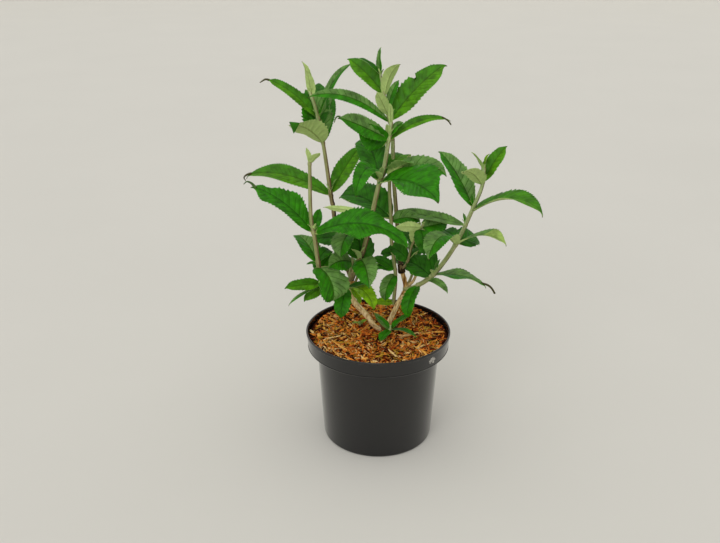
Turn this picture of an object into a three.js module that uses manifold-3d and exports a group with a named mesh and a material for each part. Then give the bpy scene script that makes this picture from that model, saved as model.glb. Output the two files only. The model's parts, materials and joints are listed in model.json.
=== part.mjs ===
// A young butterfly bush in its nursery pot, in millimetres, +Z up.
// The origin is the centre of the pot's flat underside, and the front of the plant faces -Y.
// Two woody limbs fork out of a low stem base, bare stems rise from them, and leafy shoots
// with opposite lance-shaped leaves end the stems.

import * as THREE from "three";
import { mergeVertices } from "three/addons/utils/BufferGeometryUtils.js";
import Module from "manifold-3d";

const wasm = await Module();
wasm.setup();

// ---------------------------------------------------------------- driving dimensions

const CLEARANCE = 0.3; // gap between solids that touch on the real plant

const POT = {
  height: 152,
  rimRadius: 95,
  lipWidth: 0.6, // the rim's bead stands out from the collar by this
  lipDepth: 3,
  collarDepth: 22,
  collarFootRadius: 92.6,
  shoulderRadius: 81, // the body, right under the collar
  footRadius: 73,
  footRounding: 3,
  wall: 2.2,
  floor: 3,
  drainHoles: 8,
  drainRadius: 6,
  drainCircle: 58,
  sides: 36,
};

const MIX = { crownHeight: 145.5, flatRadius: 24, edgeHeight: 143 };

const STEM_BASE = { x: 7, y: 4, height: 7, footRadius: 9.5, neckRadius: 6.5, sides: 16 };

const BLADE = {
  steps: 24, // pieces of the midrib
  rings: [0, 2, 6, 10, 14, 19], // pieces where the blade has a cross-section
  youngRings: [0, 4, 10, 17], // the same on a young leaf
  youngLength: 32,
  widest: 0.44, // share of the length where the blade is widest
  fold: 14, // degrees by which each half rises from the midrib
  petiole: 0.9, // half width of the foot
  slenderness: 60, // length over thickness
  minThickness: 1,
};

// A small young leaf stands in the axil of each leaf longer than `parent`.
const AXIL = { parent: 62, shortest: 13, longest: 22, slimness: 0.36, aside: 35, lift: 75, droop: 20 };
const SEED = 7;

// Woody limbs: radius at foot and tip, and [x, y, z] along the centre line.
const LIMBS = {
  left_limb: {
    girth: [3.4, 4.2],
    path: [[5, 2, 149], [-3, -1, 154], [-17, -4, 175], [-34, 0, 195], [-36, 2, 219]],
  },
  right_limb: {
    girth: [4.4, 3.6],
    path: [[9, 5, 149], [15, 4, 161], [26, 4, 187], [35, 6, 206], [30, 8, 232]],
  },
  left_arm: {
    girth: [3, 2.6],
    path: [[-36, 1, 214], [-50, -6, 215], [-64, -13, 217]],
  },
  right_knob: {
    girth: [4.6, 3.2],
    path: [[30, 8, 232.6], [28, 8, 240]],
  },
  right_snag: {
    girth: [2.4, 1.6],
    path: [[34, 6, 208], [44, 6, 216], [49, 7, 226]],
  },
  back_stem: {
    girth: [3, 2.6],
    path: [[-36, 2, 210], [-36, 14, 218], [-46, 25, 242], [-54, 30, 272], [-59, 33, 312]],
  },
  leaning_stem: {
    girth: [3.4, 3],
    path: [[-36, 2, 219.4], [-33, 0, 228], [-28, -3, 243]],
  },
  tall_stem: {
    girth: [2.6, 2.3],
    path: [[31, 7, 228], [28, 15, 244], [25, 16, 274], [21.5, 18, 312], [17.5, 18, 358], [16, 16, 400]],
  },
  right_spur: {
    girth: [2.7, 2.6],
    path: [[33, 6, 206], [41, 1, 209], [50, -1, 214]],
  },
};

// Leafy shoots: a twig like a limb, and its leaves in rows of [height on the twig,
// way round from +X towards +Y, lift at the foot, droop to the tip, length, width, roll].
const SHOOTS = {
  far_left_shoot: {
    girth: [3.3, 2.4],
    path: [
      [-64.3, -13.2, 217], [-70, -16, 221], [-73.6, -20, 234], [-79.2, -28, 287],
      [-83, -30, 313], [-83, -33, 386],
    ],
    leaves: [
      [217, -152, 1, 57, 39, 15, -76],
      [220.3, -147, -1, 39, 56, 7, -4],
      [224.6, -153, 6, 5, 52, 20, -28],
      [230, 97, 40, 60, 45, 20, 6],
      [239.7, 63, 37, 30, 37, 13, 30],
      [248.8, -55, -5, 130, 59, 49, -8],
      [253, 125, 44, 58, 62, 30, 5],
      [256.4, 60, 39, 104, 39, 17, 19],
      [296.8, -188, 51, 39, 96, 36, -24],
      [295.9, -18, 27, 79, 132, 43, 34],
      [297, 73, 46, 16, 35, 13, 30],
      [383.4, -125, 80, 10, 22, 8, -2],
      [383.9, -27, 48, 5, 21, 12, -24],
      [255.1, -168, 8, 30, 15, 6, -13],
    ],
  },
  left_shoot: {
    girth: [2.7, 1.9],
    path: [
      [-59.1, 33.1, 312.4], [-60.5, 34, 320], [-70.2, 36, 393], [-77.6, 36, 431],
      [-84.5, 35, 455],
    ],
    leaves: [
      [324.1, 169, 30, 55, 121, 32, -24],
      [327, 43, 51, 15, 76, 24, 37],
      [392, -119, 40, 33, 78, 40, 19],
      [392.5, 77, 50, 21, 75, 18, 38],
      [412, 93, 50, 30, 74, 25, 5],
      [423.2, -187, 49, 36, 82, 17, -38],
      [423, 23, 72, 49, 83, 18, 9],
      [447.6, 190, 84, 21, 46, 20, 19],
      [450.9, -110, 76, 12, 33, 12, 0],
      [397.8, 133, 71, 24, 65, 43, -7],
    ],
  },
  leaning_shoot: {
    girth: [3, 2.3],
    path: [
      [-27.9, -3, 243.4], [-23, -4, 254], [-16, -6, 279], [-1, -10, 352], [4.3, -8, 369],
      [10.6, -2, 407], [13, 1, 425],
    ],
    leaves: [
      [248, -120, 70, 40, 29, 13, 0],
      [251.6, -80, 16, 71, 71, 32, 22],
      [250.7, 127, 101, 64, 36, 37, -28],
      [263, 70, 19, 64, 35, 17, 0],
      [280.7, 60, 44, 50, 50, 23, 0],
      [312.9, 173, 9, 5, 62, 9, 105],
      [355.2, 116, 69, 92, 78, 38, -23],
      [357.6, -112, 48, 130, 100, 24, -25],
      [354.8, -50, 20, 54, 106, 63, 15],
      [404.3, -155, 33, 28, 47, 44, -88],
      [405.6, -146, 29, 8, 80, 27, -59],
      [403.8, 12, 39, 64, 85, 14, 31],
      [422.8, -100, 75, 15, 30, 13, 0],
      [409.5, 4, 58, 36, 24, 13, 31],
    ],
  },
  tall_shoot: {
    girth: [2.3, 1.2],
    path: [
      [15.9, 15.9, 400.4], [14, 15, 415], [10, 14, 431], [4, 12, 459], [0, 10, 480],
    ],
    leaves: [
      [421.8, -177, 41, 62, 110, 15, -60],
      [424, 15, 52, 24, 97, 36, 35],
      [430.5, -124, 53, 5, 42, 15, 36],
      [437.6, 50, 69, 36, 41, 11, 26],
      [453.8, -54, 76, 56, 53, 18, -8],
      [457.2, 155, 47, 22, 62, 23, -44],
      [475.8, 23, 99, 19, 36, 14, 1],
      [479.4, 170, 50, 38, 33, 10, -13],
    ],
  },
  middle_shoot: {
    girth: [2.3, 2],
    path: [
      [20, 9, 183], [22, 7, 224], [16, 5, 271], [15, 4, 301], [12.3, 4, 348], [13.4, 4, 362],
    ],
    leaves: [
      [186.1, -164, 13, 23, 27, 14, -29],
      [226.4, -119, -5, 107, 45, 20, -20],
      [233.1, -174, 45, 42, 36, 13, -55],
      [300, 1, 21, 62, 39, 24, 36],
      [302.6, 148, 37, 70, 85, 51, -17],
      [356.1, -8, 38, 92, 78, 25, 54],
      [357.4, -42, 52, 49, 45, 34, -12],
      [256, -179, 10, 36, 16, 14, -35],
      [362, 57, 57, 130, 53, 26, 4],
      [235.5, -174, 19, 14, 26, 19, -37],
    ],
  },
  right_shoot: {
    girth: [3, 2],
    path: [
      [50.3, -1, 214.2], [58, -3, 220], [70, -6, 232], [94, -10, 271], [114, -12, 321],
      [124, -12, 351], [125, -12, 373],
    ],
    leaves: [
      [214.5, -117, -8, 108, 54, 22, 13],
      [223, -48, 19, 78, 41, 10, 29],
      [227.9, 158, 41, 40, 40, 42, -20],
      [231.8, -11, 7, 46, 72, 40, -7],
      [234.3, 93, 47, 43, 43, 10, -19],
      [275.8, 42, 13, 62, 48, 32, 34],
      [273, -33, 42, 82, 78, 21, 0],
      [274, -124, 47, 123, 86, 33, -2],
      [280.8, 128, 19, 39, 32, 26, -3],
      [299.9, 160, 10, 16, 93, 23, -17],
      [318.3, -23, 38, 94, 100, 42, 1],
      [322.8, 141, 59, 24, 84, 33, -13],
      [351.9, -126, 43, 35, 59, 25, 21],
      [355.4, 13, 65, 20, 52, 21, 35],
      [368.3, 182, 66, 25, 30, 10, 18],
      [370.8, 2, 88, 34, 21, 8, 5],
      [231.5, -95, 60, 60, 20, 9, 0],
    ],
  },
  inner_left_shoot: {
    girth: [1.8, 1.2],
    path: [
      [-38, 5, 218], [-37, 7, 228], [-34, 4, 245], [-33, 5, 285],
    ],
    leaves: [
      [244.6, -132, 27, 54, 46, 29, -53],
      [262, 140, 40, 50, 40, 19, 0],
      [285, -112, 13, 106, 52, 33, 6],
      [280.4, -173, -1, 5, 52, 30, -25],
    ],
  },
  back_left_shoot: {
    girth: [1.8, 1.2],
    path: [
      [-35, 3, 208], [-28, 14, 218], [-24, 22, 238], [-26, 27, 258],
    ],
    leaves: [
      [222, 26, 20, 40, 41, 18, 8],
      [224.3, 120, 28, 60, 45, 19, 0],
      [238, 95, 40, 60, 52, 23, 0],
      [240, -60, 40, 60, 26, 13, 0],
      [256, 130, 50, 50, 45, 19, 0],
      [257, 60, 40, 50, 34, 16, 0],
    ],
  },
  front_left_shoot: {
    girth: [1.6, 1.2],
    path: [
      [-35, 1, 209], [-37, -8, 214], [-43, -19, 219],
    ],
    leaves: [
      [217.7, -104, -26, 60, 43, 23, -5],
      [214.2, -52, 24, 106, 60, 26, -3],
      [214, -29, -35, 46, 26, 13, 5],
      [217.9, -8, 23, 27, 36, 10, 12],
    ],
  },
  centre_shoot: {
    girth: [1.8, 1.2],
    path: [
      [30, 7, 234], [36, 2, 244], [42, 0, 270], [50, -8, 292], [54, -14, 301],
    ],
    leaves: [
      [248, -179, 54, 52, 33, 26, -38],
      [250, 0, 50, 60, 40, 21, 0],
      [272.3, -50, 80, 30, 35, 15, -8],
      [294, -82, -10, 90, 40, 23, 0],
      [297.6, -140, 15, 5, 46, 13, 88],
      [296, 23, 5, 7, 38, 28, 38],
    ],
  },
  back_right_shoot: {
    girth: [1.8, 1.2],
    path: [
      [35, 6, 208], [42, 16, 216], [48, 24, 236], [50, 28, 256],
    ],
    leaves: [
      [222, 30, 20, 60, 45, 21, 0],
      [224, 136, 25, 40, 42, 19, -5],
      [238, 84, 40, 60, 55, 23, 0],
      [252.5, 156, 54, 44, 42, 19, -8],
      [254, 30, 45, 50, 48, 21, 0],
    ],
  },
  front_sprout: {
    girth: [1.6, 1.1],
    path: [
      [11, -3, 149], [15, -7, 152], [16, -8, 158],
    ],
    leaves: [
      [154.5, 160, 50, 30, 25, 12, 0],
      [155, 15, 45, 30, 32, 14, 0],
      [154, -30, 20, 60, 41, 10, 0],
      [153.5, -125, 0, 40, 26, 14, 0],
      [153.2, 143, 36, 5, 32, 9, -40],
    ],
  },
  mix_sprout: {
    girth: [1.1, 0.9],
    path: [
      [-24, 19, 145.8], [-24, 19, 150],
    ],
    leaves: [
      [148.5, -150, 40, 40, 12, 7, 0],
      [148.8, 20, 40, 40, 12, 7, 0],
      [149.2, -80, 60, 30, 9, 6, 0],
    ],
  },
};

// ---------------------------------------------------------------- shapes

const { degToRad, lerp } = THREE.MathUtils;

/** A closed skin over rings of points; the last ring may be a single point. */
function loft(rings) {
  const sides = rings[0].length;
  const last = (rings.length - 1) * sides;
  const pointed = rings.at(-1).length === 1;
  const index = [];
  for (let low = 0; low < last; low += sides) {
    const high = low + sides;
    for (let side = 0; side < sides; side++) {
      const next = (side + 1) % sides;
      if (pointed && high === last) {
        index.push(low + side, low + next, high);
      } else {
        index.push(low + side, low + next, high + next, low + side, high + next, high + side);
      }
    }
  }
  for (let side = 1; side < sides - 1; side++) {
    index.push(0, side + 1, side);
    if (!pointed) index.push(last, last + side, last + side + 1);
  }
  const geometry = new THREE.BufferGeometry().setFromPoints(rings.flat());
  geometry.setIndex(index);
  return geometry;
}

/** The manifold solid inside a closed geometry. */
function solidOf(geometry) {
  geometry.deleteAttribute("normal");
  geometry.deleteAttribute("uv");
  const merged = mergeVertices(geometry, 1e-4);
  const corners = Array.from(merged.index.array);
  const triVerts = [];
  for (let i = 0; i < corners.length; i += 3) {
    const triangle = corners.slice(i, i + 3);
    if (new Set(triangle).size === 3) triVerts.push(...triangle);
  }
  const vertProperties = new Float32Array(merged.attributes.position.array);
  const mesh = new wasm.Mesh({ numProp: 3, vertProperties, triVerts: new Uint32Array(triVerts) });
  return new wasm.Manifold(mesh);
}

/** A solid of revolution about Z from [radius, height] pairs. */
function turned(profile, sides) {
  const points = profile.map(([radius, height]) => new THREE.Vector2(radius, height));
  const geometry = new THREE.LatheGeometry(points, sides);
  geometry.rotateX(Math.PI / 2);
  return solidOf(geometry);
}

const curveOf = (path) => new THREE.CatmullRomCurve3(path.map((point) => new THREE.Vector3(...point)));

/** A tapering round stem along its path, widened all round by `spare`. */
function stem({ path, girth }, sides, spare = 0) {
  const curve = curveOf(path);
  const steps = 2 * (path.length - 1);
  const { normals, binormals } = curve.computeFrenetFrames(steps);
  const rings = normals.map((normal, step) => {
    const radius = lerp(...girth, step / steps) + spare;
    const centre = curve.getPointAt(step / steps);
    return Array.from({ length: sides }, (_, side) => {
      const turn = (2 * Math.PI * side) / sides;
      const point = centre.clone().addScaledVector(normal, radius * Math.cos(turn));
      return point.addScaledVector(binormals[step], radius * Math.sin(turn));
    });
  });
  return solidOf(loft(rings));
}

/** The point of a rising path at a given height, found by halving. */
function pointAtHeight(path, height) {
  const curve = curveOf(path);
  let low = 0;
  let high = 1;
  for (let halving = 0; halving < 20; halving++) {
    const middle = (low + high) / 2;
    if (curve.getPoint(middle).z < height) low = middle;
    else high = middle;
  }
  return curve.getPoint(low);
}

/** Half the width of a lance-shaped blade at a share of its length. */
function halfWidth(share, width) {
  const rise = share / BLADE.widest;
  const fall = (1 - share) / (1 - BLADE.widest);
  return Math.max(BLADE.petiole, (width / 2) * rise ** 0.75 * fall ** 0.85);
}

/** A folded leaf that leaves its foot at its lift and bends down by its droop, ever faster. */
function leaf(foot, [, way, lift, droop, length, width, roll], spare = 0) {
  const heading = degToRad(way);
  const fold = degToRad(BLADE.fold);
  const across = new THREE.Vector3(-Math.sin(heading), Math.cos(heading), 0);
  const thick = Math.max(BLADE.minThickness, length / BLADE.slenderness) / 2 + spare;
  const ringSteps = length < BLADE.youngLength ? BLADE.youngRings : BLADE.rings;
  const midrib = foot.clone();
  const along = new THREE.Vector3();
  const rings = [];
  for (let step = 0; step < BLADE.steps; step++) {
    const share = step / BLADE.steps;
    const rise = degToRad(lift - droop * share ** 1.5);
    along.set(Math.cos(rise) * Math.cos(heading), Math.cos(rise) * Math.sin(heading), Math.sin(rise));
    if (ringSteps.includes(step)) {
      const side = across.clone().applyAxisAngle(along, degToRad(roll));
      const up = along.clone().cross(side);
      const half = halfWidth(share, width) + spare;
      const at = (x, z) => midrib.clone().addScaledVector(side, x).addScaledVector(up, z);
      const reach = half * Math.cos(fold);
      const edge = half * Math.sin(fold);
      rings.push([at(reach, edge), at(0, thick), at(-reach, edge), at(0, -thick)]);
    }
    midrib.addScaledVector(along, length / BLADE.steps);
  }
  rings.push([midrib.addScaledVector(along, spare)]);
  return solidOf(loft(rings));
}

/** A repeatable run of numbers from 0 to 1. */
function seeded(seed) {
  let state = seed;
  return () => {
    state = (state * 16807) % 2147483647;
    return state / 2147483647;
  };
}

/** Rows for the young leaves in the axils of a shoot's long leaves. */
function axilLeaves(leaves, random) {
  const long = leaves.filter(([, , , , length]) => length > AXIL.parent);
  return long.map(([height, way]) => {
    const aside = random() < 0.5 ? -AXIL.aside : AXIL.aside;
    const length = lerp(AXIL.shortest, AXIL.longest, random());
    return [height + 1, way + aside, AXIL.lift, AXIL.droop, length, AXIL.slimness * length, 0];
  });
}

// ---------------------------------------------------------------- the pieces

const part = new THREE.Group();
const taken = []; // the room of each wooden or leafy piece so far: its solid, widened by the clearance

function addMesh(name, solid, color, roughness) {
  const { vertProperties, triVerts } = solid.getMesh();
  const geometry = new THREE.BufferGeometry();
  geometry.setAttribute("position", new THREE.BufferAttribute(vertProperties, 3));
  geometry.setIndex(new THREE.BufferAttribute(triVerts, 1));
  const mesh = new THREE.Mesh(geometry, new THREE.MeshStandardMaterial({ color, roughness, metalness: 0 }));
  mesh.name = name;
  part.add(mesh);
}

/** What is left of a solid clear of all taken room, without loose scraps. */
function clearOfOthers(solid) {
  const cut = taken.reduce((rest, room) => rest.subtract(room), solid);
  const pieces = cut.decompose();
  return pieces.reduce((largest, piece) => (piece.volume() > largest.volume() ? piece : largest));
}

/** Inner radius of the pot's collar at a height. */
function collarInside(height) {
  const share = (height - POT.height + POT.collarDepth) / POT.collarDepth;
  return lerp(POT.collarFootRadius, POT.rimRadius, share) - POT.wall;
}

function addPot() {
  const collarFoot = POT.height - POT.collarDepth;
  const step = collarFoot + POT.wall;
  const shell = turned(
    [
      [0, 0],
      [POT.footRadius - POT.footRounding, 0],
      [POT.footRadius - 0.3 * POT.footRounding, 0.3 * POT.footRounding],
      [POT.footRadius, POT.footRounding],
      [POT.shoulderRadius, collarFoot],
      [POT.collarFootRadius, collarFoot],
      [POT.rimRadius - POT.lipWidth, POT.height - POT.lipDepth],
      [POT.rimRadius, POT.height - POT.lipDepth],
      [POT.rimRadius, POT.height],
      [POT.rimRadius - POT.wall, POT.height],
      [collarInside(step), step],
      [POT.shoulderRadius - POT.wall, step],
      [POT.footRadius - POT.wall, POT.floor],
      [0, POT.floor],
    ],
    POT.sides,
  );
  let pot = shell;
  for (let hole = 0; hole < POT.drainHoles; hole++) {
    const turn = (2 * Math.PI * (hole + 0.5)) / POT.drainHoles;
    const drill = new THREE.CylinderGeometry(POT.drainRadius, POT.drainRadius, 4 * POT.floor, 8);
    drill.rotateX(Math.PI / 2);
    drill.translate(POT.drainCircle * Math.cos(turn), POT.drainCircle * Math.sin(turn), 0);
    pot = pot.subtract(solidOf(drill));
  }
  addMesh("pot", pot, 0x17181a, 0.3);
}

function addRootBall() {
  const floor = POT.floor + CLEARANCE;
  const step = POT.height - POT.collarDepth + POT.wall + CLEARANCE;
  const profile = [
    [0, floor],
    [POT.footRadius - POT.wall - CLEARANCE, floor],
    [POT.shoulderRadius - POT.wall - CLEARANCE, step],
    [collarInside(step) - CLEARANCE, step],
    [collarInside(MIX.edgeHeight) - CLEARANCE, MIX.edgeHeight],
    [MIX.flatRadius, MIX.crownHeight],
    [0, MIX.crownHeight],
  ];
  addMesh("root_ball", turned(profile, POT.sides), 0x6b3d1e, 0.95);
}

/** A short flared stump, cut flat where it stands on the mix. */
function stemBase(spare = 0) {
  const foot = MIX.crownHeight + CLEARANCE;
  const profile = [
    [0, foot],
    [STEM_BASE.footRadius + spare, foot],
    [0.5 * (STEM_BASE.footRadius + STEM_BASE.neckRadius) - 0.5 + spare, foot + 0.25 * STEM_BASE.height],
    [STEM_BASE.neckRadius + spare, foot + 0.7 * STEM_BASE.height],
    [STEM_BASE.neckRadius - 2 + spare, foot + STEM_BASE.height + spare],
    [0, foot + STEM_BASE.height + spare],
  ];
  return turned(profile, STEM_BASE.sides).translate([STEM_BASE.x, STEM_BASE.y, 0]);
}

function addLimb(name, limb) {
  addMesh(name, clearOfOthers(stem(limb, 8)), 0xa58a63, 0.85);
  taken.push(stem(limb, 8, CLEARANCE));
}

/** A twig with every leaf that finds free room, fused into one solid. */
function addShoot(name, shoot, random) {
  let solid = clearOfOthers(stem(shoot, 6));
  const rooms = [stem(shoot, 6, CLEARANCE)];
  for (const row of [...shoot.leaves, ...axilLeaves(shoot.leaves, random)]) {
    const foot = pointAtHeight(shoot.path, row[0]);
    const room = leaf(foot, row, CLEARANCE);
    const crowded = taken.some((other) => !room.intersect(other).isEmpty());
    if (crowded) continue;
    solid = solid.add(leaf(foot, row));
    rooms.push(room);
  }
  addMesh(name, solid, 0x3c7f2c, 0.7);
  taken.push(...rooms);
}

addPot();
addRootBall();
addMesh("stem_base", stemBase(), 0x8a6f4d, 0.9);
taken.push(stemBase(CLEARANCE));
for (const [name, limb] of Object.entries(LIMBS)) addLimb(name, limb);
const random = seeded(SEED);
for (const [name, shoot] of Object.entries(SHOOTS)) addShoot(name, shoot, random);

export default part;
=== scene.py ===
"""A young butterfly bush in its nursery pot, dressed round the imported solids.

Lengths are in millimetres, angles in degrees and colours in display values from 0 to 255 until
they reach Blender. +Z is up, the front of the plant faces -Y.
"""

import json
from math import pi, radians

import bpy
import numpy as np
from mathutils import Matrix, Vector

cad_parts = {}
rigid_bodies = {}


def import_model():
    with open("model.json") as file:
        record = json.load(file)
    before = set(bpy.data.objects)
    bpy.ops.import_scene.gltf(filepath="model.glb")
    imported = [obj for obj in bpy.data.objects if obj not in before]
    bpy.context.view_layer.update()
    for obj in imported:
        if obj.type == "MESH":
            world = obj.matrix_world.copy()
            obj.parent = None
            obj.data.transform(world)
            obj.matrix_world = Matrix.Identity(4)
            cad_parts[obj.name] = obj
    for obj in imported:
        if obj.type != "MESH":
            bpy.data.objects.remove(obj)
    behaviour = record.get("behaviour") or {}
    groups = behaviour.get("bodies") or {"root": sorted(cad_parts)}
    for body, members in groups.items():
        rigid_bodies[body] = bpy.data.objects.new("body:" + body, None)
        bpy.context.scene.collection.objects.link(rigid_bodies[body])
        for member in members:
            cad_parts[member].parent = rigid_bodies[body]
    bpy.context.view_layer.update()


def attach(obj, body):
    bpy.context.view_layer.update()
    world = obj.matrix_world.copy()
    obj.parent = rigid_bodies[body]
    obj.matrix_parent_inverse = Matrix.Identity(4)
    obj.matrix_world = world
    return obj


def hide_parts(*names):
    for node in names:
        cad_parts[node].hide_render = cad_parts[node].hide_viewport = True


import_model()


# ---------------------------------------------------------------- the studio
# A seamless sheet of warm grey paper, laid as a wide bowl so that it is the same behind the
# plant from every side, and the wide soft light of a white tent, strongest from above.

MM = 0.001
NOISE_SPAN = 0.3, 0.7  # Blender's noise hardly leaves this range
NOISE_DETAIL = 4  # octaves of a finish's clouds
BUMP_STRENGTH = 0.6


def shade(*display):
    """A display colour as linear red, green, blue and full alpha."""
    share = np.array(display) / 255
    linear = np.where(share <= 0.04045, share / 12.92, ((share + 0.055) / 1.055) ** 2.4)
    return (*linear.tolist(), 1.0)


def mapped(material, value, span, to=(0, 1)):
    """The output of a node that maps a value's span to another."""
    node = material.node_tree.nodes.new("ShaderNodeMapRange")
    for socket, limit in zip(("From Min", "From Max", "To Min", "To Max"), (*span, *to)):
        node.inputs[socket].default_value = limit
    material.node_tree.links.new(value, node.inputs["Value"])
    return node.outputs["Result"]


def finish(name, tones, grain, relief, rough, stretch=(1, 1, 1), cells=False, **sockets):
    """A material of tones mixed by a noise with grains of the given size.

    The same noise sets the roughness between its two values. Relief is the size and the depth of a
    finer noise, or of round cells, that raises bumps. Sockets are plain values of the shader.
    """
    made = bpy.data.materials.new(name)
    made.use_nodes = True
    nodes, link = made.node_tree.nodes, made.node_tree.links.new
    shader = nodes["Principled BSDF"]
    for socket, value in sockets.items():
        shader.inputs[socket.replace("_", " ")].default_value = value
    place = nodes.new("ShaderNodeTexCoord").outputs["Object"]

    def pattern(kind, size):
        mapping = nodes.new("ShaderNodeMapping")
        mapping.inputs["Scale"].default_value = [share / (size * MM) for share in stretch]
        link(place, mapping.inputs["Vector"])
        texture = nodes.new(kind)
        texture.inputs["Scale"].default_value = 1
        link(mapping.outputs["Vector"], texture.inputs["Vector"])
        return texture

    clouds = pattern("ShaderNodeTexNoise", grain)
    clouds.inputs["Detail"].default_value = NOISE_DETAIL
    ramp = nodes.new("ShaderNodeValToRGB").color_ramp
    for step, tone in zip(np.linspace(*NOISE_SPAN, len(tones)), tones):
        stop = ramp.elements[0] if tone is tones[0] else ramp.elements.new(step)
        stop.position, stop.color = step, shade(*tone)
    ramp.elements.remove(ramp.elements[-1])
    link(clouds.outputs["Fac"], nodes["Color Ramp"].inputs["Fac"])
    link(nodes["Color Ramp"].outputs["Color"], shader.inputs["Base Color"])
    link(mapped(made, clouds.outputs["Fac"], NOISE_SPAN, rough), shader.inputs["Roughness"])
    fine = pattern("ShaderNodeTexVoronoi" if cells else "ShaderNodeTexNoise", relief[0])
    bump = nodes.new("ShaderNodeBump")
    bump.inputs["Strength"].default_value = BUMP_STRENGTH
    bump.inputs["Distance"].default_value = relief[1] * MM
    link(fine.outputs[0], bump.inputs["Height"])
    link(bump.outputs["Normal"], shader.inputs["Normal"])
    return made


def skin(grids, slots=0, ends=(True, True)):
    """Faces over k grids of n rings of m points: quads between rings, a fan on each closed end.

    A ring runs anticlockwise seen from the next ring, so the faces point outwards. Slots give the
    finish of each quad. Returns points, quads, fans, and the slots of both.
    """
    grids = grids.reshape(-1, *grids.shape[-3:])
    k, n, m = grids.shape[:3]
    points = np.concatenate([grids.reshape(k, n * m, 3), grids[:, [0, -1]].mean(axis=2)], axis=1)
    first = np.arange(k)[:, None, None] * (n * m + 2)
    side = np.arange(m)
    after = (side + 1) % m
    low = np.arange(n - 1)[:, None] * m
    corners = np.stack([low + side, low + after, low + after + m, low + side + m], axis=-1)
    quads = (first[..., None] + corners).reshape(-1, 4)
    slots = np.broadcast_to(slots, (k, n - 1, m))
    last = (n - 1) * m
    fans = [(after, side, np.full(m, n * m)), (last + side, last + after, np.full(m, n * m + 1))]
    fans = [first + np.stack(fan, axis=-1) for fan, closed in zip(fans, ends) if closed]
    fan_slots = [slots[:, row] for row, closed in zip((0, -1), ends) if closed]
    fans, fan_slots = np.concatenate(fans).reshape(-1, 3), np.concatenate(fan_slots).ravel()
    return points.reshape(-1, 3), quads, fans, slots.ravel(), fan_slots


def piece(name, skins, finishes, sharp=None):
    """One smooth-shaded object of the skins, joined, with the finishes that its faces use.

    Edges bent by more than the sharp angle, where one is given, stay sharp.
    """
    starts = np.cumsum([0] + [len(points) for points, *_ in skins])
    points = np.concatenate([points for points, *_ in skins])
    quads, fans = (
        np.concatenate([start + each[part] for start, each in zip(starts, skins)])
        for part in (1, 2)
    )
    slots = np.concatenate([each[part] for part in (3, 4) for each in skins])
    used, slots = np.unique(slots, return_inverse=True)
    mesh = bpy.data.meshes.new(name)
    mesh.vertices.add(len(points))
    mesh.vertices.foreach_set("co", (points * MM).ravel().astype(np.float32))
    mesh.loops.add(quads.size + fans.size)
    mesh.loops.foreach_set("vertex_index", np.concatenate([quads.ravel(), fans.ravel()]))
    mesh.polygons.add(len(quads) + len(fans))
    quad_starts = 4 * np.arange(len(quads))
    mesh.polygons.foreach_set(
        "loop_start", np.concatenate([quad_starts, quads.size + 3 * np.arange(len(fans))])
    )
    mesh.polygons.foreach_set("material_index", slots.ravel().astype(np.int32))
    mesh.update(calc_edges=True)
    mesh.shade_smooth()
    if sharp:
        mesh.set_sharp_from_angle(angle=radians(sharp))
    for slot in used:
        mesh.materials.append(finishes[slot])
    made = bpy.data.objects.new(name, mesh)
    bpy.context.collection.objects.link(made)
    return made


def turned(profile, sides):
    """Rings of a surface of revolution about Z, one for each [radius, height] of the profile."""
    turn = 2 * pi * np.arange(sides) / sides
    radius, height = np.array(profile).T[..., None]
    return np.stack(
        [radius * np.cos(turn), radius * np.sin(turn), height + 0 * turn], axis=-1
    )


PAPER = {"flat": 9000, "bend": 1500, "wall": 4000}  # radius of the floor and bend, and height
arc = np.linspace(0, pi / 2, 24)
paper_profile = [(0.5, 0)] + [
    (PAPER["flat"] + PAPER["bend"] * np.sin(a), PAPER["bend"] * (1 - np.cos(a))) for a in arc
]
paper_profile.append((PAPER["flat"] + PAPER["bend"], PAPER["wall"]))
paper = finish(
    "warm_grey_paper", [(212, 210, 203), (214, 212, 205)], 400, (2, 0.05), (0.85, 0.95)
)
bowl = skin(turned(paper_profile[::-1], 96), ends=(False, True))
backdrop = piece("paper_backdrop", [bowl], [paper])


def soft_light(name, source, spread, strength, colour=(255, 255, 255)):
    """Even light from the direction of a source, as wide as its spread."""
    light = bpy.data.lights.new(name, "SUN")
    light.angle, light.energy, light.color = radians(spread), strength, shade(*colour)[:3]
    made = bpy.data.objects.new(name, light)
    made.rotation_euler = Vector(source).to_track_quat("Z", "Y").to_euler()
    bpy.context.collection.objects.link(made)


soft_light("tent_roof", (-0.15, -0.25, 1), 75, 0.5, (255, 253, 249))
soft_light("tent_front", (-0.4, -1.2, 0.75), 50, 0.95)

world = bpy.data.worlds.new("room_light")
world.use_nodes = True
background = world.node_tree.nodes["Background"].inputs
background["Color"].default_value, background["Strength"].default_value = shade(236, 235, 233), 0.82
bpy.context.scene.world = world
bpy.context.scene.view_settings.view_transform = "Standard"

CAMERA = {"lens": 40, "film": 36, "place": (-24, -946, 629), "tilt": 67.3}
camera = bpy.data.objects.new("camera", bpy.data.cameras.new("camera"))
camera.data.lens, camera.data.sensor_width = CAMERA["lens"], CAMERA["film"]
camera.location = [MM * place for place in CAMERA["place"]]
camera.rotation_euler = (radians(CAMERA["tilt"]), 0, 0)
bpy.context.collection.objects.link(camera)
bpy.context.scene.camera = camera


# ---------------------------------------------------------------- the pot
# A round nursery pot, injection moulded in glossy black plastic: a tapered body, a deep collar
# that steps out below the rim, a thin bead round the lip and eight drain holes in the floor.

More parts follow.
